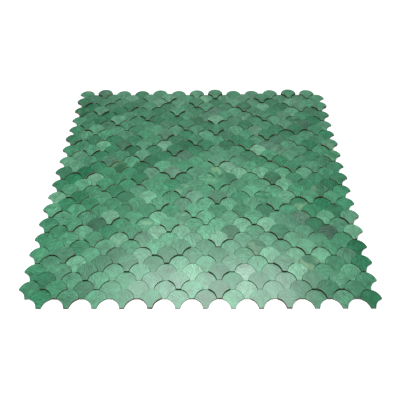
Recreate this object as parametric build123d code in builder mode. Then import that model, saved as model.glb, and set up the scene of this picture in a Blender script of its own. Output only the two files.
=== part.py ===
"""Peel and stick backsplash tile: a flat sheet of wooden fish scales on an adhesive backing.

Sizes are in millimetres. The sheet lies with its face up. +X runs along the rows, +Y points the
way the rounded ends point, and the origin is the middle of the underside.
"""
import math
import os

from build123d import *

# Layout of the scales
COLUMNS = 13
ROW_PAIRS = 17
PITCH = 23.0  # from scale to scale along a row
ROW_SPACING = 8.25  # from row to row
STEM_WIDTH = 4.3  # narrow end of a scale
JOINT = 0.15  # gap between neighbouring scales
FLANK_SIDES = 2  # straight sides that stand for each curved flank of a scale

# Thicknesses
BACKING_THICKNESS = 0.4
SCALE_THICKNESS = {"a": 1.0, "b": 2.0, "c": 3.0}
BACKING_INSET = 0.4  # the backing stays this far inside the edge of the scales

# Thickness of every scale: blocks of four rows, a row to a line, and their order from the front
THICKNESS_BLOCKS = {
    "A": ("ababcaaabcaaa", "acaababcaabcb", "cababcaabacca", "abcabaacaabaa"),
    "B": ("aabcaaabacbab", "bcbaacababaaa", "cabaccaabacba", "abcabaacaabaa"),
    "C": ("aabcaaabacbab", "bcbaacaaabbaa", "aacbaabacaabc", "cbaabacabaaba"),
}
BLOCK_ORDER = "ABCABCACA"

# A scale is drawn about the centre of its rounded end. The crown of that end is as wide as the
# stem that stands on it two rows up, and its tips are where the stems of the next row begin.
ROWS = 2 * ROW_PAIRS
SHIFT = PITCH / 2  # every second row is moved sideways by this
CROWN_X = STEM_WIDTH / 2
TIP_X = SHIFT - CROWN_X
CROWN_Y = (TIP_X**2 - CROWN_X**2 + ROW_SPACING**2) / (2 * ROW_SPACING)
TIP_Y = CROWN_Y - ROW_SPACING
ROUND_RADIUS = math.hypot(CROWN_X, CROWN_Y)
CROWN_ANGLE = math.atan2(CROWN_X, CROWN_Y)
TIP_ANGLE = math.atan2(TIP_X, TIP_Y)

# Centre of the first scale of the front row, with the sheet centred on the origin
FIRST_X = SHIFT / 2 - SHIFT * (COLUMNS - 1)
FIRST_Y = (ROW_SPACING - CROWN_Y - TIP_Y - ROW_SPACING * (ROWS - 1)) / 2

RIGHT = 1
LEFT = -1


def centre(row, column):
    """Centre of a scale's rounded end; odd rows are moved to the left."""
    x = FIRST_X + column * PITCH - (row % 2) * SHIFT
    y = FIRST_Y + row * ROW_SPACING
    return Vector(x, y)


def flank(middle, side):
    """Points on one curved flank of a rounded end, from its tip to its crown."""
    turn = (CROWN_ANGLE - TIP_ANGLE) / FLANK_SIDES
    angles = [TIP_ANGLE + turn * step for step in range(FLANK_SIDES + 1)]
    return [
        middle + Vector(side * ROUND_RADIUS * math.sin(angle), ROUND_RADIUS * math.cos(angle))
        for angle in angles
    ]


def hollow(middle, side):
    """Points on the hollow below a tip, from tip to stem, cut to take the next row's flank."""
    neighbour = middle + Vector(side * SHIFT, -ROW_SPACING)
    return flank(neighbour, -side)[::-1]


def upper_edge(middle):
    """Rounded end from the right tip over the crown to the left tip."""
    return flank(middle, RIGHT) + flank(middle, LEFT)[::-1]


def lower_edge(middle):
    """Two hollows and the stem between them, from the left tip to the right tip."""
    return hollow(middle, LEFT) + hollow(middle, RIGHT)[::-1]


def sheet_edge():
    """Outline of the whole sheet, anticlockwise from the left end of the front row."""
    last_column = COLUMNS - 1
    last_row = ROWS - 1
    points = []
    for column in range(COLUMNS):
        points += lower_edge(centre(0, column))
    points += flank(centre(0, last_column), RIGHT)[1:]
    for row in range(2, ROWS, 2):
        points += hollow(centre(row, last_column), RIGHT)[::-1][1:]
        points += flank(centre(row, last_column), RIGHT)[1:]
    for column in reversed(range(COLUMNS)):
        points += upper_edge(centre(last_row, column))
    points += hollow(centre(last_row, 0), LEFT)[1:]
    for row in range(last_row - 2, 0, -2):
        points += flank(centre(row, 0), LEFT)[::-1][1:]
        points += hollow(centre(row, 0), LEFT)[1:]
    return points


def thickness(row, column):
    """Thickness of a scale, from the blocks of rows."""
    lines = [line for block in BLOCK_ORDER for line in THICKNESS_BLOCKS[block]]
    line = lines[row % len(lines)]
    return SCALE_THICKNESS[line[column % len(line)]]


os.makedirs("parts", exist_ok=True)

# Self-adhesive backing that carries every scale
with BuildPart() as adhesive_backing:
    with BuildSketch():
        with BuildLine():
            Polyline(*sheet_edge(), close=True)
        make_face()
        offset(amount=-JOINT / 2 - BACKING_INSET, kind=Kind.INTERSECTION)
    extrude(amount=BACKING_THICKNESS)
adhesive_backing.part.label = "adhesive_backing"
export_step(adhesive_backing.part, "parts/adhesive_backing.step")

# Outline that all the scales share
with BuildSketch() as scale_outline:
    with BuildLine():
        Polyline(*upper_edge(Vector()), *lower_edge(Vector())[1:-1], close=True)
    make_face()
    offset(amount=-JOINT / 2, kind=Kind.INTERSECTION)

# Rows of scales, from the front row with its stems at the edge of the sheet
for row in range(ROWS):
    with BuildPart() as scale_row:
        for height in SCALE_THICKNESS.values():
            places = [centre(row, column) for column in range(COLUMNS) if thickness(row, column) == height]
            if places:
                with BuildSketch(Plane.XY.offset(BACKING_THICKNESS)):
                    with Locations(*places):
                        add(scale_outline.sketch)
                extrude(amount=height)
    name = f"scale_row_{row + 1:02d}"
    scale_row.part.label = name
    export_step(scale_row.part, f"parts/{name}.step")
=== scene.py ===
# %% [markdown]
# # A fish-scale backsplash sheet
# The object is a flat sheet of small wooden scales, stained green and stuck on a self-adhesive
# backing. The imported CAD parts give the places, the outline and the thickness of every scale. This
# lesson dresses them: each row of scales is modelled again with round edges, and gets its wood.
# The CAD parts are loaded first, because everything else is measured from them.

# %% Load the sheet
import math

import bpy
import numpy as np
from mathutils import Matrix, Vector


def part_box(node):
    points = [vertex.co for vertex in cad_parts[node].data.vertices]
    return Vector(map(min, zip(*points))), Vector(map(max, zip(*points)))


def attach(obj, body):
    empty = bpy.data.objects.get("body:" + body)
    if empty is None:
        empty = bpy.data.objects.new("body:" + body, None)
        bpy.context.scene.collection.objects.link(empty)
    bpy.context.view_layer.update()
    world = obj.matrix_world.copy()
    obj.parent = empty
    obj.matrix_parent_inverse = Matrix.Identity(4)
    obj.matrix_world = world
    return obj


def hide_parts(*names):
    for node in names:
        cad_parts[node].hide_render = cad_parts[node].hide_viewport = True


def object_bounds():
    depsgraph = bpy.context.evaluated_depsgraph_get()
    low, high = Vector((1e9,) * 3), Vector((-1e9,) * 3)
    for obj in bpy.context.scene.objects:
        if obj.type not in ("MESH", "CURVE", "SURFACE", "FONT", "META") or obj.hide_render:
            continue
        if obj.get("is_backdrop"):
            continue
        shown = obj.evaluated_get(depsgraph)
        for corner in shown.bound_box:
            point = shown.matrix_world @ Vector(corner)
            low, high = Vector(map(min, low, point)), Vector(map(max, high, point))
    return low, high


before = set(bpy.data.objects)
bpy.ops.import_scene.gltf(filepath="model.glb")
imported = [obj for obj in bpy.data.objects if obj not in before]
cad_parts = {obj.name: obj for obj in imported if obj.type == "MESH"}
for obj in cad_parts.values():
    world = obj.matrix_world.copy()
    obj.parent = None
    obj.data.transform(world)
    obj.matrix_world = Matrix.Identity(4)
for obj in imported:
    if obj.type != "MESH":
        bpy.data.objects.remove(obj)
cad_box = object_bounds()
MM = 0.001
print("CAD box in mm:", [[round(float(value) / MM, 2) for value in corner] for corner in cad_box])

# %% [markdown]
# ## Two helpers for every material
# Colours are easiest to read as the hex values of a paint chart, which are sRGB. Blender's shaders
# want linear light, so one function turns a hex value to linear. A shader is a chain of nodes, and
# one more function adds a node, sets it up and links it, so that each material below reads as a list.
# If the node holds a colour ramp, it gets its stops too.

# %% Colour and node helpers
def linear(hex_value):
    """Linear RGBA of an sRGB hex colour, by the curve that the sRGB standard gives."""
    parts = [int(hex_value[place:place + 2], 16) / 255 for place in (1, 3, 5)]
    light = [part / 12.92 if part <= 0.04045 else ((part + 0.055) / 1.055) ** 2.4 for part in parts]
    return (*light, 1.0)


def add_node(tree, kind, inputs, stops=(), **settings):
    """Add a node; an input is a value, or the socket that it is linked from. Stops colour its ramp."""
    made = tree.nodes.new(kind)
    for name, value in settings.items():
        setattr(made, name, value)
    for name, value in inputs.items():
        if isinstance(value, bpy.types.NodeSocket):
            tree.links.new(value, made.inputs[name])
        else:
            made.inputs[name].default_value = value
    for number, (place, colour) in enumerate(stops):
        if number >= len(made.color_ramp.elements):
            made.color_ramp.elements.new(1.0)
        made.color_ramp.elements[number].position = place
        made.color_ramp.elements[number].color = linear(colour)
    return made


print("a mid grey in linear light:", [round(part, 3) for part in linear("#808080")])

# %% [markdown]
# ## Measuring the lattice
# The scales interlock like tiles on a roof: every second row is shifted by half a pitch, and each
# stem stands on the dome two rows in front of it. Typing these distances again would risk a
# mismatch, so they are measured from the boxes of the first three rows. Row 1 is the front row.

# %% Measure rows, pitch and joint
row_names = sorted(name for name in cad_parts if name.startswith("scale_row_"))
first_low, first_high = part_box(row_names[0])
second_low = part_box(row_names[1])[0]
third_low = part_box(row_names[2])[0]
shift = first_low[0] - second_low[0]
pitch = 2 * shift
spacing = second_low[1] - first_low[1]
joint = third_low[1] - first_high[1]
columns = round((first_high[0] - first_low[0]) / pitch)
backing_top = first_low[2]
print(len(row_names), "rows of", columns, "scales; pitch, spacing, joint in mm:",
      [round(float(value) / MM, 3) for value in (pitch, spacing, joint)])

# %% [markdown]
# ## The round of a dome
# The CAD scale has straight sides where the real one is round. The corners of the CAD dome lie on
# the real curve, so the circle through a crown corner and a tip, with its centre on the middle line
# of the scale, gives the dome back. The hollows are the same circle, wider by the joint.

# %% Find the corners of the first dome
def node_points(name):
    """Vertices of a CAD node, as an array in metres."""
    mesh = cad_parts[name].data
    flat = np.empty(3 * len(mesh.vertices))
    mesh.vertices.foreach_get("co", flat)
    return flat.reshape(-1, 3)


HAIR = 0.01 * MM  # points this close count as level with each other
scale_width = first_high[0] - first_low[0] - (columns - 1) * pitch
first_scale = node_points(row_names[0])
first_scale = first_scale[first_scale[:, 0] < first_low[0] + pitch]
middle_x = first_low[0] + scale_width / 2
crown_x = np.max(first_scale[first_scale[:, 1] > first_high[1] - HAIR][:, 0]) - middle_x
tip_x = scale_width / 2
tip_y = np.max(first_scale[first_scale[:, 0] > middle_x + tip_x - HAIR][:, 1])
print("crown corner and tip lie", [round(float(value) / MM, 3) for value in (crown_x, tip_x)],
      "mm from the middle of a scale")

# %% Find the circle of a dome
drop = first_high[1] - tip_y
crown_height = (tip_x ** 2 - crown_x ** 2 + drop ** 2) / (2 * drop)
dome_radius = math.hypot(crown_x, crown_height)
hollow_radius = dome_radius + joint
print("dome radius in mm:", round(dome_radius / MM, 3), "hollow:", round(hollow_radius / MM, 3))

# %% [markdown]
# ## One wooden scale
# A scale is a disc from which three neighbours have taken a bite: the two domes of the row in front,
# and the dome two rows in front, on which the stem stands. It could be drawn point by point, but
# cutting it from a cylinder with Boolean modifiers is quicker and keeps all joints even, because
# the cutters have as many sides as the disc. 442 copies follow, so the disc has only 28 sides. The
# cutter under the stem is turned by half a side, so that none of its corners falls beside a corner
# of the stem, where the rounding below needs room.

# %% Cut a scale from a disc
ROUND_SIDES = 28
PATTERN_THICKNESS = 1.0 * MM
CUTTER_DEPTH = 3 * PATTERN_THICKNESS
half_side = math.pi / ROUND_SIDES
bites = ((shift, -spacing, 0), (-shift, -spacing, 0), (0, -2 * spacing, half_side))
bpy.ops.object.select_all(action="DESELECT")
bpy.ops.mesh.primitive_cylinder_add(vertices=ROUND_SIDES, radius=dome_radius, depth=PATTERN_THICKNESS)
pattern = bpy.context.active_object
for across, along, turn in bites:
    bpy.ops.mesh.primitive_cylinder_add(vertices=ROUND_SIDES, radius=hollow_radius, depth=CUTTER_DEPTH,
                                        location=(across, along, 0), rotation=(0, 0, turn))
    cutter = bpy.context.active_object
    bite = pattern.modifiers.new("bite", "BOOLEAN")
    bite.operation = "DIFFERENCE"
    bite.object = cutter
    bpy.context.view_layer.objects.active = pattern
    bpy.ops.object.modifier_apply(modifier=bite.name)
    bpy.data.objects.remove(cutter)
print("scale cut with", len(pattern.data.polygons), "faces")

# %% [markdown]
# ## Rounded corners
# Thin wood doesn't keep a needle-sharp corner: the two tips and the two corners of the stem are a
# little round on the real scales. A bevel on the four upright edges there does it. The edges are
# found by their place: upright ones that stand at a tip, or at the end of the stem.

# %% Pick the corners of the scale
def clear_picks(kind):
    """Leave nothing selected in the active mesh, and let edit mode work on whole faces or edges."""
    bpy.ops.object.mode_set(mode="EDIT")
    bpy.ops.mesh.select_mode(type=kind)
    bpy.ops.mesh.select_all(action="DESELECT")
    bpy.ops.object.mode_set(mode="OBJECT")


NEAR = 0.1 * MM  # a corner is looked for within this distance
bpy.ops.object.select_all(action="DESELECT")
pattern.select_set(True)
clear_picks("EDGE")
foot = min(vertex.co.y for vertex in pattern.data.vertices)
for edge in pattern.data.edges:
    start, end = [pattern.data.vertices[number].co for number in edge.vertices]
    upright = abs(start.z - end.z) > HAIR
    at_tip = abs(start.x) > tip_x - NEAR
    at_foot = start.y < foot + NEAR and abs(start.x) > crown_x - NEAR
    edge.select = bool(upright and (at_tip or at_foot))
print("picked", sum(edge.select for edge in pattern.data.edges), "corners of the scale")

# %% Round the corners
CORNER_ROUND = 0.6 * MM
CORNER_STEPS = 2
bpy.ops.object.mode_set(mode="EDIT")
bpy.ops.mesh.bevel(offset=CORNER_ROUND, segments=CORNER_STEPS, affect="EDGES")
bpy.ops.object.mode_set(mode="OBJECT")
print("corners rounded to", round(CORNER_ROUND / MM, 2), "mm")

# %% [markdown]
# ## The eased top edge
# The top edge of a scale isn't knife-sharp. The hot cut eases it, and the thin rim that this leaves
# draws a line round each scale. Faces have a normal, the way that they look, and the one that looks
# straight up is the face of the scale. A bevel on its outline makes the rim. One step is enough for
# so fine an edge.

# %% Ease the top edge of the scale
LEVEL = 0.9  # a face is level if its normal rises, or falls, by more than this
UP = 1
DOWN = -1


def pick_level_faces(piece, way):
    """Enter edit mode with just those faces selected that look straight up, or straight down."""
    clear_picks("FACE")
    for face in piece.data.polygons:
        face.select = way * face.normal.z > LEVEL
    bpy.ops.object.mode_set(mode="EDIT")


EASED_EDGE = 0.12 * MM
pick_level_faces(pattern, UP)
bpy.ops.mesh.bevel(offset=EASED_EDGE, segments=1, affect="EDGES")
bpy.ops.object.mode_set(mode="OBJECT")
print("eased scale:", len(pattern.data.vertices), "vertices,", len(pattern.data.polygons), "faces")

# %% [markdown]
# ## Reading the pattern for copies
# A row holds 13 copies of the scale. Joining copied objects one by one is slow, so the pattern's
# vertices and faces are read once, and every row's mesh is put together from shifted copies of
# them. Upright faces are the cut edge, sloping ones the eased rim, level ones the face of the wood.

# %% Read the scale as arrays
UPRIGHT = 0.2  # a face is upright if its normal rises or falls by less than this
pattern_points = np.array([vertex.co for vertex in pattern.data.vertices])
pattern_faces = [tuple(face.vertices) for face in pattern.data.polygons]
pattern_slope = np.array([face.normal.z for face in pattern.data.polygons])
is_wall = np.abs(pattern_slope) < UPRIGHT
is_rim = (pattern_slope > UPRIGHT) & (pattern_slope < LEVEL)
at_bottom = pattern_points[:, 2] < 0
below_top = pattern_points[:, 2].max() - pattern_points[:, 2]
bpy.data.objects.remove(pattern)
print(int(is_wall.sum()), "wall faces and", int(is_rim.sum()), "rim faces on a scale")

# %% [markdown]
# ## No two scales alike
# Each real scale is sawn from another piece of wood, so its grain runs its own way and it took up
# the stain differently. The differences could be painted by hand, but 442 scales are too many. A
# random generator draws them, and its seed keeps the sheet the same on each run.

# %% Draw the grain of every scale
SEED = 34
GRAIN_RUN = 400  # length in mm of the wood that the scales are sawn from
scales = len(row_names) * columns
chance = np.random.default_rng(SEED)
grain_turn = chance.uniform(0, math.pi, scales)
grain_start = chance.uniform(0, GRAIN_RUN, (scales, 2))
print("grain drawn for", scales, "scales")

# %% [markdown]
# ## Tone, age and gloss
# Most scales differ only in their tone, from dark to pale. A little weathered grey is in all of
# them, and much of it in a few old ones. On some the stain is thin and lets bare wood through. The
# lacquer isn't quite even either, so each scale gets a roughness of its own, within a narrow range.

# %% Draw the tone, age and gloss of every scale
TONE_SPREAD = 0.93
TONE_LIMIT = 2.4
GREY_MEAN, GREY_SPREAD = 0.08, 0.1
OLD_SHARE, OLD_GREY = 0.04, 0.3
BARE_SHARE, BARE_LEAST, BARE_MOST = 0.06, 0.15, 0.4
SATIN_MEAN, SATIN_SPREAD = 0.29, 0.02
SATIN_LEAST, SATIN_MOST = 0.24, 0.34
tone = np.clip(chance.normal(0, TONE_SPREAD, scales), -TONE_LIMIT, TONE_LIMIT)
weathered = np.clip(chance.normal(GREY_MEAN, GREY_SPREAD, scales), 0, 1)
old_wood = chance.random(scales) < OLD_SHARE
weathered[old_wood] += OLD_GREY
thinly_stained = chance.random(scales) < BARE_SHARE
bare = np.where(thinly_stained, chance.uniform(BARE_LEAST, BARE_MOST, scales), 0)
satin = np.clip(chance.normal(SATIN_MEAN, SATIN_SPREAD, scales), SATIN_LEAST, SATIN_MOST)
print("tones from", round(tone.min(), 2), "to", round(tone.max(), 2), "with",
      int(old_wood.sum()), "old scales and", int(thinly_stained.sum()), "thinly stained ones")

# %% [markdown]
# ## Stained wood
# The face of a scale is thin hardwood, stained green and sealed with a satin lacquer. What the eye
# sees first is the tone of the stain. Each tone could be a material of its own, but one material
# that reads the drawn numbers from the faces does the same with less. A ramp turns the tone to a
# colour, a second ramp holds the greyer colours of old wood, and the age mixes the two.

# %% Mix the tones of the stain
STAIN_TONES = ((0.0, "#07603c"), (0.29, "#22744f"), (0.5, "#36835e"), (0.71, "#4a926e"),
               (1.0, "#67a884"))
OLD_TONES = ((0.0, "#465750"), (0.5, "#5c7066"), (1.0, "#748a7e"))
WOOD_IOR = 1.5
SHARE, FIRST, SECOND = 0, 6, 7  # places of a Mix node's share and its two colours
MIXED = 2  # place of its mixed colour among its outputs

# Stained hardwood under satin lacquer: the eye sees deep greens of many tones, with a soft sheen
stained_wood = bpy.data.materials.new("stained_wood_satin_lacquer")
stained_wood.use_nodes = True
tree = stained_wood.node_tree
wood_shader = tree.nodes["Principled BSDF"]
wood_shader.inputs["IOR"].default_value = WOOD_IOR
tone_read = add_node(tree, "ShaderNodeAttribute", {}, attribute_name="tone")
tone_share = add_node(tree, "ShaderNodeMapRange", {"Value": tone_read.outputs["Fac"],
                                                   "From Min": -TONE_LIMIT, "From Max": TONE_LIMIT})
stain = add_node(tree, "ShaderNodeValToRGB", {"Fac": tone_share.outputs["Result"]}, stops=STAIN_TONES)
old_stain = add_node(tree, "ShaderNodeValToRGB", {"Fac": tone_share.outputs["Result"]}, stops=OLD_TONES)
weather_read = add_node(tree, "ShaderNodeAttribute", {}, attribute_name="weathered")
aged = add_node(tree, "ShaderNodeMix", {SHARE: weather_read.outputs["Fac"], FIRST: stain.outputs["Color"],
                                        SECOND: old_stain.outputs["Color"]}, data_type="RGBA")
print("stain tones:", [colour for place, colour in STAIN_TONES])

# %% [markdown]
# ## Grain
# Wood shows fine streaks along its grain, still finer pores, and cloudy patches where the stain
# soaked in. A wave texture would look too regular, so all three are noise, stretched along the
# grain. It is laid out on a UV map in millimetres, which turns with every scale. Real
# streaks lie about 0.4 mm apart, and 0.6 mm is drawn, so that they show from a distance.

# %% Draw streaks, clouds and pores
STREAK_WIDTH, STREAK_LENGTH = 0.6, 5.0
CLOUD_WIDTH, CLOUD_LENGTH = 7.0, 14.0
PORE_WIDTH, PORE_LENGTH = 0.35, 3.5
grain_map = add_node(tree, "ShaderNodeUVMap", {}, uv_map="grain")
streak_place = add_node(tree, "ShaderNodeMapping", {"Vector": grain_map.outputs["UV"],
                        "Scale": (1 / STREAK_LENGTH, 1 / STREAK_WIDTH, 1)})
streaks = add_node(tree, "ShaderNodeTexNoise", {"Vector": streak_place.outputs["Vector"], "Scale": 1.0,
                                                "Detail": 3.0, "Roughness": 0.6, "Distortion": 0.2})
cloud_place = add_node(tree, "ShaderNodeMapping", {"Vector": grain_map.outputs["UV"],
                       "Scale": (1 / CLOUD_LENGTH, 1 / CLOUD_WIDTH, 1)})
clouds = add_node(tree, "ShaderNodeTexNoise", {"Vector": cloud_place.outputs["Vector"], "Scale": 1.0,
                                               "Detail": 2.0})
pore_place = add_node(tree, "ShaderNodeMapping", {"Vector": grain_map.outputs["UV"],
                      "Scale": (1 / PORE_LENGTH, 1 / PORE_WIDTH, 1)})
pores = add_node(tree, "ShaderNodeTexNoise", {"Vector": pore_place.outputs["Vector"], "Scale": 1.0,
                                              "Detail": 2.0})
print("streaks", STREAK_WIDTH, "mm wide, clouds", CLOUD_WIDTH, "mm, pores", PORE_WIDTH, "mm")

# %% [markdown]
# ## Shading the stain by the grain
# Streaks and clouds are places with more or less stain, so they don't change the hue: they make it
# darker or paler. Each noise is spread to a range around 1, and the stain is multiplied by both.

# %% Shade the stain
NOISE_LOW, NOISE_HIGH = 0.3, 0.7  # nearly all values of a noise lie between these
STREAK_DARK, STREAK_PALE = 0.4, 1.6
CLOUD_DARK, CLOUD_PALE = 0.78, 1.22
streak_shade = add_node(tree, "ShaderNodeMapRange", {
    "Value": streaks.outputs["Fac"], "From Min": NOISE_LOW, "From Max": NOISE_HIGH,
    "To Min": STREAK_DARK, "To Max": STREAK_PALE})
cloud_shade = add_node(tree, "ShaderNodeMapRange", {
    "Value": clouds.outputs["Fac"], "From Min": NOISE_LOW, "From Max": NOISE_HIGH,
    "To Min": CLOUD_DARK, "To Max": CLOUD_PALE})
shade = add_node(tree, "ShaderNodeMath", {0: streak_shade.outputs["Result"],
                                          1: cloud_shade.outputs["Result"]}, operation="MULTIPLY")
grained = add_node(tree, "ShaderNodeMix", {SHARE: 1.0, FIRST: aged.outputs[MIXED],
                                           SECOND: shade.outputs["Value"]},
                   data_type="RGBA", blend_type="MULTIPLY")
print("streaks shade from", STREAK_DARK, "to", STREAK_PALE)

# %% [markdown]
# ## Bare spots and a scorched rim
# On the thinly stained scales the pale wood shows in the clouds that took up least stain. The rim of
# every scale is darker than its face, because the hot cut scorched it, and this draws the thin dark
# line round each scale. It could be modelled as a groove, but a share of brown on the rim's faces,
# which carry a number of their own, costs no geometry.

# %% Add bare spots and the scorched rim
BARE_WOOD = "#9db38c"
BARE_FROM, BARE_FULL = 0.5, 0.68  # values of the cloud noise between which bare wood comes through
SCORCHED_WOOD = "#33291d"
SCORCH_SHARE = 0.35
bare_read = add_node(tree, "ShaderNodeAttribute", {}, attribute_name="bare")
thin_stain = add_node(tree, "ShaderNodeMapRange", {"Value": clouds.outputs["Fac"],
                                                   "From Min": BARE_FROM, "From Max": BARE_FULL})
bare_share = add_node(tree, "ShaderNodeMath", {0: bare_read.outputs["Fac"],
                                               1: thin_stain.outputs["Result"]}, operation="MULTIPLY")
spotted = add_node(tree, "ShaderNodeMix", {SHARE: bare_share.outputs["Value"],
                                           FIRST: grained.outputs[MIXED],
                                           SECOND: linear(BARE_WOOD)}, data_type="RGBA")
rim_read = add_node(tree, "ShaderNodeAttribute", {}, attribute_name="rim")
rim_share = add_node(tree, "ShaderNodeMath", {0: rim_read.outputs["Fac"], 1: SCORCH_SHARE},
                     operation="MULTIPLY")
scorched = add_node(tree, "ShaderNodeMix", {SHARE: rim_share.outputs["Value"],
                                            FIRST: spotted.outputs[MIXED],
                                            SECOND: linear(SCORCHED_WOOD)}, data_type="RGBA")
tree.links.new(scorched.outputs[MIXED], wood_shader.inputs["Base Color"])
print("rim mixed with", SCORCH_SHARE, "of", SCORCHED_WOOD)

# %% [markdown]
# ## Satin lacquer
# The lacquer is thin, so the grain shows in it too: it is a little rougher along some streaks, and
# the pores leave fine dents. The roughness of each scale gets a small change from the streaks, and
# a bump of a few hundredths of a millimetre gives the dents, which are too fine to model.

# %% Seal the wood with lacquer
GLOSS_CHANGE = 0.03
PORE_DEPTH = 0.05 * MM
BUMP_STRENGTH = 0.25
satin_read = add_node(tree, "ShaderNodeAttribute", {}, attribute_name="satin")
streak_gloss = add_node(tree, "ShaderNodeMapRange", {
    "Value": streaks.outputs["Fac"], "From Min": NOISE_LOW, "From Max": NOISE_HIGH,
    "To Min": -GLOSS_CHANGE, "To Max": GLOSS_CHANGE})
gloss = add_node(tree, "ShaderNodeMath", {0: satin_read.outputs["Fac"],
                                          1: streak_gloss.outputs["Result"]}, operation="ADD")
relief = add_node(tree, "ShaderNodeMath", {0: pores.outputs["Fac"], 1: streaks.outputs["Fac"]},
                  operation="ADD")
bump = add_node(tree, "ShaderNodeBump", {"Height": relief.outputs["Value"], "Strength": BUMP_STRENGTH,
                                         "Distance": PORE_DEPTH})
tree.links.new(gloss.outputs["Value"], wood_shader.inputs["Roughness"])
tree.links.new(bump.outputs["Normal"], wood_shader.inputs["Normal"])
print("stained wood has", len(tree.nodes), "nodes")

# %% [markdown]
# ## Cut edges
# The stain covers the face only. The sides of a scale show bare wood: cream just under the face, and
# darker below it, down to near black at the bottom. Part of that is browning by the hot cut that parted
# it, and part is painted shade, for the shade at the foot of each step. Fine upright marks run down
# them. The UV map gives the share of the depth below the face, and a ramp turns it to colour. The marks
# are noise on Object coordinates, stretched along the height.

# %% Colour the cut edge by its depth
# the dark end of these tones is partly browning by the cut and partly painted shade at the foot of the
# steps
EDGE_AND_SHADE_TONES = ((0.0, "#d9c29c"), (0.12, "#b08f66"), (0.23, "#2b2018"), (1.0, "#100c09"))

# Bare wood browned by a hot cut, darkened further towards the bottom by painted shade: the eye sees a
# thin cream line and matt dark brown below it
cut_edge = bpy.data.materials.new("browned_bare_wood_with_painted_shade")
cut_edge.use_nodes = True
tree = cut_edge.node_tree
edge_shader = tree.nodes["Principled BSDF"]
edge_shader.inputs["IOR"].default_value = WOOD_IOR
edge_map = add_node(tree, "ShaderNodeUVMap", {}, uv_map="grain")
edge_place = add_node(tree, "ShaderNodeSeparateXYZ", {"Vector": edge_map.outputs["UV"]})
# painted shade: by depth, the edge darkens to near black towards the bottom of each step
browned_and_shaded = add_node(tree, "ShaderNodeValToRGB", {"Fac": edge_place.outputs["Y"]}, stops=EDGE_AND_SHADE_TONES)
print("cut edge tones:", [colour for place, colour in EDGE_AND_SHADE_TONES])

# %% Add the marks of the cut
MARK_WIDTH, MARK_LENGTH = 0.6 * MM, 3.0 * MM
MARK_DARK, MARK_PALE = 0.8, 1.2
DULL_LEAST, DULL_MOST = 0.65, 0.85
place = add_node(tree, "ShaderNodeTexCoord", {})
mark_place = add_node(tree, "ShaderNodeMapping", {"Vector": place.outputs["Object"],
                      "Scale": (1 / MARK_WIDTH, 1 / MARK_WIDTH, 1 / MARK_LENGTH)})
marks = add_node(tree, "ShaderNodeTexNoise", {"Vector": mark_place.outputs["Vector"], "Scale": 1.0,
                                              "Detail": 2.0})
mark_shade = add_node(tree, "ShaderNodeMapRange", {
    "Value": marks.outputs["Fac"], "From Min": NOISE_LOW, "From Max": NOISE_HIGH,
    "To Min": MARK_DARK, "To Max": MARK_PALE})
marked = add_node(tree, "ShaderNodeMix", {SHARE: 1.0, FIRST: browned_and_shaded.outputs["Color"],
                                          SECOND: mark_shade.outputs["Result"]},
                  data_type="RGBA", blend_type="MULTIPLY")
dull = add_node(tree, "ShaderNodeMapRange", {"Value": marks.outputs["Fac"],
                                             "To Min": DULL_LEAST, "To Max": DULL_MOST})
tree.links.new(marked.outputs[MIXED], edge_shader.inputs["Base Color"])
tree.links.new(dull.outputs["Result"], edge_shader.inputs["Roughness"])
print("cut edge has", len(tree.nodes), "nodes")

# %% [markdown]
# ## A copy of the scale in its place
# Each row of the CAD becomes one piece of the picture. The top of every scale is read from its
# CAD solid, so that the steps between thick and thin scales stay as they were designed. Scaling a
# copy to its height would stretch its eased edge too, so only its bottom reaches down to the
# backing. The round crowns of the last row would pass the CAD box, and they are trimmed to it.

# %% Place one scale
def place_scale(name, column):
    """Vertices of one scale of a row, and the height of its face."""
    low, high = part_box(name)
    solid = node_points(name)
    middle = low[0] + scale_width / 2 + column * pitch
    top = solid[np.abs(solid[:, 0] - middle) < shift / 2][:, 2].max()
    points = pattern_points + (middle, high[1] - crown_height, 0)
    points[:, 1] = np.minimum(points[:, 1], cad_box[1][1])
    points[:, 2] = np.where(at_bottom, backing_top, top - below_top)
    return points, top


first_copy, first_top = place_scale(row_names[0], 0)
print("the face of the first scale lies at", round(float(first_top) / MM, 2), "mm")

# %% [markdown]
# ## The grain on a copy
# The grain turns with each scale, so it can't be laid out on the coordinates of the sheet. A UV map
# carries it: on the face, millimetres along and across the grain of this scale, from a start of its
# own. On the cut edge the second value is the share of the depth, which the ramp of browned wood and
# painted shade reads.

# %% Lay the grain on one scale
def lay_grain(number, points, top):
    """UV of every face corner of one scale."""
    turn = grain_turn[number]
    flat = pattern_points[:, :2] / MM
    along = flat @ (math.cos(turn), math.sin(turn))
    across = flat @ (-math.sin(turn), math.cos(turn))
    depth = (top - points[:, 2]) / (top - backing_top)
    on_face = np.stack([along, across], axis=1) + grain_start[number]
    on_edge = np.stack([along, depth], axis=1)
    laid = []
    for face, wall in zip(pattern_faces, is_wall):
        laid += [on_edge[corner] if wall else on_face[corner] for corner in face]
    return laid


print(len(lay_grain(0, first_copy, first_top)), "face corners on a scale")

# %% [markdown]
# ## A row of scales
# Thirteen copies make a row, and the row is one mesh, as it is one node of the CAD. The materials
# need to know whose face they are on, so each face also carries the numbers that were drawn for its
# scale, and whether it is part of the rim.

# %% Join the scales of a row
def join_row(row, name):
    """Mesh of one row, and for each of its faces the number of the scale that it belongs to."""
    points, faces, grain, numbers = [], [], [], []
    for column in range(columns):
        number = row * columns + column
        start = column * len(pattern_points)
        copy, top = place_scale(name, column)
        points += copy.tolist()
        faces += [tuple(start + corner for corner in face) for face in pattern_faces]
        grain += lay_grain(number, copy, top)
        numbers += [number] * len(pattern_faces)
    mesh = bpy.data.meshes.new("wood_scales" + name[-3:])
    mesh.from_pydata(points, [], faces)
    mesh.uv_layers.new(name="grain").data.foreach_set("uv", np.array(grain).ravel())
    return mesh, numbers


print("each row has", columns * len(pattern_faces), "faces")

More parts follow.
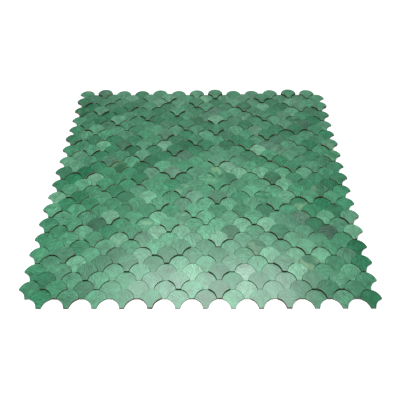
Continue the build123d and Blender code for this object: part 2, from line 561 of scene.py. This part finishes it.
# %% Give a row its wood
def finish_row(mesh, numbers):
    """Give each face the facts of its scale, and the row its two kinds of wood."""
    facts = {"tone": tone[numbers], "weathered": weathered[numbers], "bare": bare[numbers],
             "satin": satin[numbers], "rim": np.tile(is_rim, columns)}
    for fact, values in facts.items():
        mesh.attributes.new(fact, "FLOAT", "FACE").data.foreach_set("value", values.astype(float))
    mesh.materials.append(stained_wood)
    mesh.materials.append(cut_edge)
    mesh.polygons.foreach_set("material_index", np.tile(is_wall, columns).astype(int))


print("a row is made of", stained_wood.name, "and", cut_edge.name)

# %% [markdown]
# ## All the rows
# Each row is made an object, shaded smooth round its curves, and hung on the one body of the sheet,
# and its row of CAD solids is hidden. Edges sharper than the smooth angle, such as those of the rim,
# stay crisp.

# %% Place all the rows
SMOOTH_ANGLE = math.radians(25)
for row, name in enumerate(row_names):
    mesh, numbers = join_row(row, name)
    finish_row(mesh, numbers)
    piece = bpy.data.objects.new(mesh.name, mesh)
    bpy.context.collection.objects.link(piece)
    bpy.ops.object.select_all(action="DESELECT")
    piece.select_set(True)
    bpy.context.view_layer.objects.active = piece
    bpy.ops.object.shade_smooth_by_angle(angle=SMOOTH_ANGLE)
    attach(piece, "root")
    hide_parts(name)
print(len(row_names), "rows placed,", scales, "scales in all")

# %% [markdown]
# ## The backing
# All scales sit on a thin self-adhesive film. The CAD part already has its scalloped outline, so it
# is kept and only gets a finish: matt white film with the faint mottling of an adhesive coat, drawn
# as soft noise of a few millimetres.

# %% Make the backing film
MOTTLE_SIZE = 3.0 * MM
FILM_TONES = ((0.3, "#d3d2ca"), (0.7, "#dfded7"))
FILM_IOR = 1.46
FILM_GLOSSY, FILM_MATT = 0.5, 0.7

# Matt plastic film: the eye sees a plain warm white, slightly uneven, with hardly any shine
film = bpy.data.materials.new("matt_self_adhesive_film")
film.use_nodes = True
tree = film.node_tree
film_shader = tree.nodes["Principled BSDF"]
film_shader.inputs["IOR"].default_value = FILM_IOR
place = add_node(tree, "ShaderNodeTexCoord", {})
mottle = add_node(tree, "ShaderNodeTexNoise", {"Vector": place.outputs["Object"],
                                               "Scale": 1 / MOTTLE_SIZE, "Detail": 3.0})
film_tint = add_node(tree, "ShaderNodeValToRGB", {"Fac": mottle.outputs["Fac"]}, stops=FILM_TONES)
film_gloss = add_node(tree, "ShaderNodeMapRange", {"Value": mottle.outputs["Fac"],
                                                   "To Min": FILM_GLOSSY, "To Max": FILM_MATT})
tree.links.new(film_tint.outputs["Color"], film_shader.inputs["Base Color"])
tree.links.new(film_gloss.outputs["Result"], film_shader.inputs["Roughness"])
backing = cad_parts["adhesive_backing"]
backing.data.materials.clear()
backing.data.materials.append(film)
print("backing finished with", film.name)

# %% [markdown]
# ## The floor
# The sheet lies on a plain white studio floor that curves up into a wall all round, so that every
# view has the same pale background. A flat plane would show its horizon. The dish is a cylinder
# without its lid, with the corner of its floor rounded. It lies a hair under the sheet, and its
# faces are turned to look inwards.

# %% Open a dish for the floor
DISH_RADIUS = 4.0
DISH_HEIGHT = 2.4
DISH_SIDES = 96
FLOOR_GAP = 0.05 * MM
floor_level = cad_box[0][2] - FLOOR_GAP
bpy.ops.object.select_all(action="DESELECT")
bpy.ops.mesh.primitive_cylinder_add(vertices=DISH_SIDES, radius=DISH_RADIUS, depth=DISH_HEIGHT,
                                    location=(0, 0, floor_level + DISH_HEIGHT / 2))
floor = bpy.context.active_object
floor.name = "studio_floor"
bpy.ops.object.transform_apply(location=True)
pick_level_faces(floor, UP)
bpy.ops.mesh.delete(type="FACE")
bpy.ops.object.mode_set(mode="OBJECT")
print("open dish with its floor at", round(floor_level / MM, 2), "mm")

# %% Round the corner of the dish
DISH_CORNER = 1.0
DISH_CORNER_STEPS = 8
DISH_SMOOTH_ANGLE = math.radians(30)
pick_level_faces(floor, DOWN)
bpy.ops.mesh.bevel(offset=DISH_CORNER, segments=DISH_CORNER_STEPS, affect="EDGES")
bpy.ops.mesh.select_all(action="SELECT")
bpy.ops.mesh.normals_make_consistent(inside=True)
bpy.ops.object.mode_set(mode="OBJECT")
bpy.ops.object.shade_smooth_by_angle(angle=DISH_SMOOTH_ANGLE)
print("dish of", len(floor.data.polygons), "faces")

# %% [markdown]
# ## A white background
# Lighting the floor until it is pure white would bleach the wood too, so it glows instead, only for
# rays from the camera and for those that are mirrored or pass through something. It glows fully at a
# distance, and less beside the sheet, where its shadow has to stay.

# %% Paint the floor white
FLOOR_WHITE = "#f1f1f0"
FLOOR_ROUGHNESS = 0.9
white_floor = bpy.data.materials.new("matt_white_floor")
white_floor.use_nodes = True
tree = white_floor.node_tree
floor_shader = tree.nodes["Principled BSDF"]
floor_shader.inputs["Base Color"].default_value = linear(FLOOR_WHITE)
floor_shader.inputs["Roughness"].default_value = FLOOR_ROUGHNESS
floor_shader.inputs["Specular IOR Level"].default_value = 0.0
floor_shader.inputs["Emission Color"].default_value = linear("#ffffff")
floor.data.materials.append(white_floor)
floor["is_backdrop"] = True
print("floor painted", FLOOR_WHITE)

# %% Let the floor glow for the camera
NEAR_GLOW, FAR_GLOW = 0.5, 1.0
GLOW_FROM, GLOW_FULL = 0.4, 1.2  # distances in metres from the middle of the sheet
ray = add_node(tree, "ShaderNodeLightPath", {})
seen = add_node(tree, "ShaderNodeMath", {0: ray.outputs["Is Camera Ray"],
                                         1: ray.outputs["Is Glossy Ray"]}, operation="MAXIMUM")
seen_through = add_node(tree, "ShaderNodeMath", {0: seen.outputs["Value"],
                                                 1: ray.outputs["Is Transmission Ray"]},
                        operation="MAXIMUM")
place = add_node(tree, "ShaderNodeTexCoord", {})
reach = add_node(tree, "ShaderNodeVectorMath", {0: place.outputs["Object"]}, operation="LENGTH")
glow_share = add_node(tree, "ShaderNodeMapRange", {
    "Value": reach.outputs["Value"], "From Min": GLOW_FROM, "From Max": GLOW_FULL,
    "To Min": NEAR_GLOW, "To Max": FAR_GLOW})
glow = add_node(tree, "ShaderNodeMath", {0: seen_through.outputs["Value"],
                                         1: glow_share.outputs["Result"]}, operation="MULTIPLY")
tree.links.new(glow.outputs["Value"], floor_shader.inputs["Emission Strength"])
print("floor glow from", NEAR_GLOW, "beside the sheet to", FAR_GLOW, "at the wall")

# %% [markdown]
# ## Studio light
# The picture shows a soft sheen that grows towards the front edge, so a softbox hangs high behind
# the sheet, where the front rows mirror it to the camera. It also casts the short shadows in front
# of the steps. Further back hangs a large, dim panel, which the back rows mirror as a faint haze.
# The front rows are lighter than the back ones, so a small lamp hangs low above the front edge, a
# little to the left. Each lamp points at the middle of the sheet.

# %% Hang the lights
def hang_light(name, place, width, length, power):
    """Area light, in metres and watts, that points from its place at the middle of the sheet."""
    aim = (-Vector(place)).to_track_quat("-Z", "Y").to_euler()
    bpy.ops.object.light_add(type="AREA", location=place, rotation=aim)
    lamp = bpy.context.active_object
    lamp.name = name
    lamp.data.shape = "RECTANGLE"
    lamp.data.size = width
    lamp.data.size_y = length
    lamp.data.energy = power
    return lamp


bpy.ops.object.select_all(action="DESELECT")
softbox = hang_light("softbox", place=(0, 0.67, 1.89), width=1.12, length=0.36, power=20.0)
back_panel = hang_light("back_panel", place=(0, 1.92, 1.61), width=1.4, length=1.7, power=4.5)
near_lamp = hang_light("near_lamp", place=(-0.02, -0.14, 0.26), width=0.16, length=0.1, power=0.67)
for lamp in (softbox, back_panel, near_lamp):
    print(lamp.name, round(lamp.data.energy, 2), "W")

# %% [markdown]
# ## A pale ceiling
# In a studio some light comes back from the ceiling and the walls. The world stands for them, as
# one even white. It stays weak, because the joints and the sides of the steps are dark in the
# picture. The Standard view keeps the colours about as they were written.

# %% Fill from a pale ceiling
CEILING_FILL = 0.06
room = bpy.data.worlds.new("pale_studio")
room.use_nodes = True
ceiling = room.node_tree.nodes["Background"]
ceiling.inputs["Color"].default_value = linear("#ffffff")
ceiling.inputs["Strength"].default_value = CEILING_FILL
bpy.context.scene.world = room
bpy.context.scene.view_settings.view_transform = "Standard"
print("ceiling fill", CEILING_FILL)

# %% [markdown]
# ## Camera
# The picture was taken from above the front edge, looking down at a little over fifty degrees, with
# a lens wide enough to make the sides of the sheet run together. The place, turn and lens were fitted
# so that the corners of the lattice fall where the picture has them.

# %% Place the camera
CAMERA_PLACE = (7.43 * MM, -269.28 * MM, 308.10 * MM)
CAMERA_TURN = (math.radians(37.763), math.radians(0.143), math.radians(-0.022))
SENSOR_WIDTH = 36.0
LENS = 35.0
SIDE_SHIFT = -0.0171
NEAREST_SEEN = 0.01
bpy.ops.object.camera_add(location=CAMERA_PLACE, rotation=CAMERA_TURN)
camera = bpy.context.active_object
camera.name = "photo_camera"
camera.data.sensor_width = SENSOR_WIDTH
camera.data.lens = LENS
camera.data.shift_x = SIDE_SHIFT
camera.data.clip_start = NEAREST_SEEN
bpy.context.scene.camera = camera
print("camera with a", round(camera.data.lens, 1), "mm lens")

# %% [markdown]
# ## Size and finish
# Dressing a part must not make it bigger.

# %% Write the sizes and finish
boxes = {"cad": cad_box, "visual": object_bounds()}
boxes = {name: [[float(value) for value in corner] for corner in box] for name, box in boxes.items()}
print(boxes)
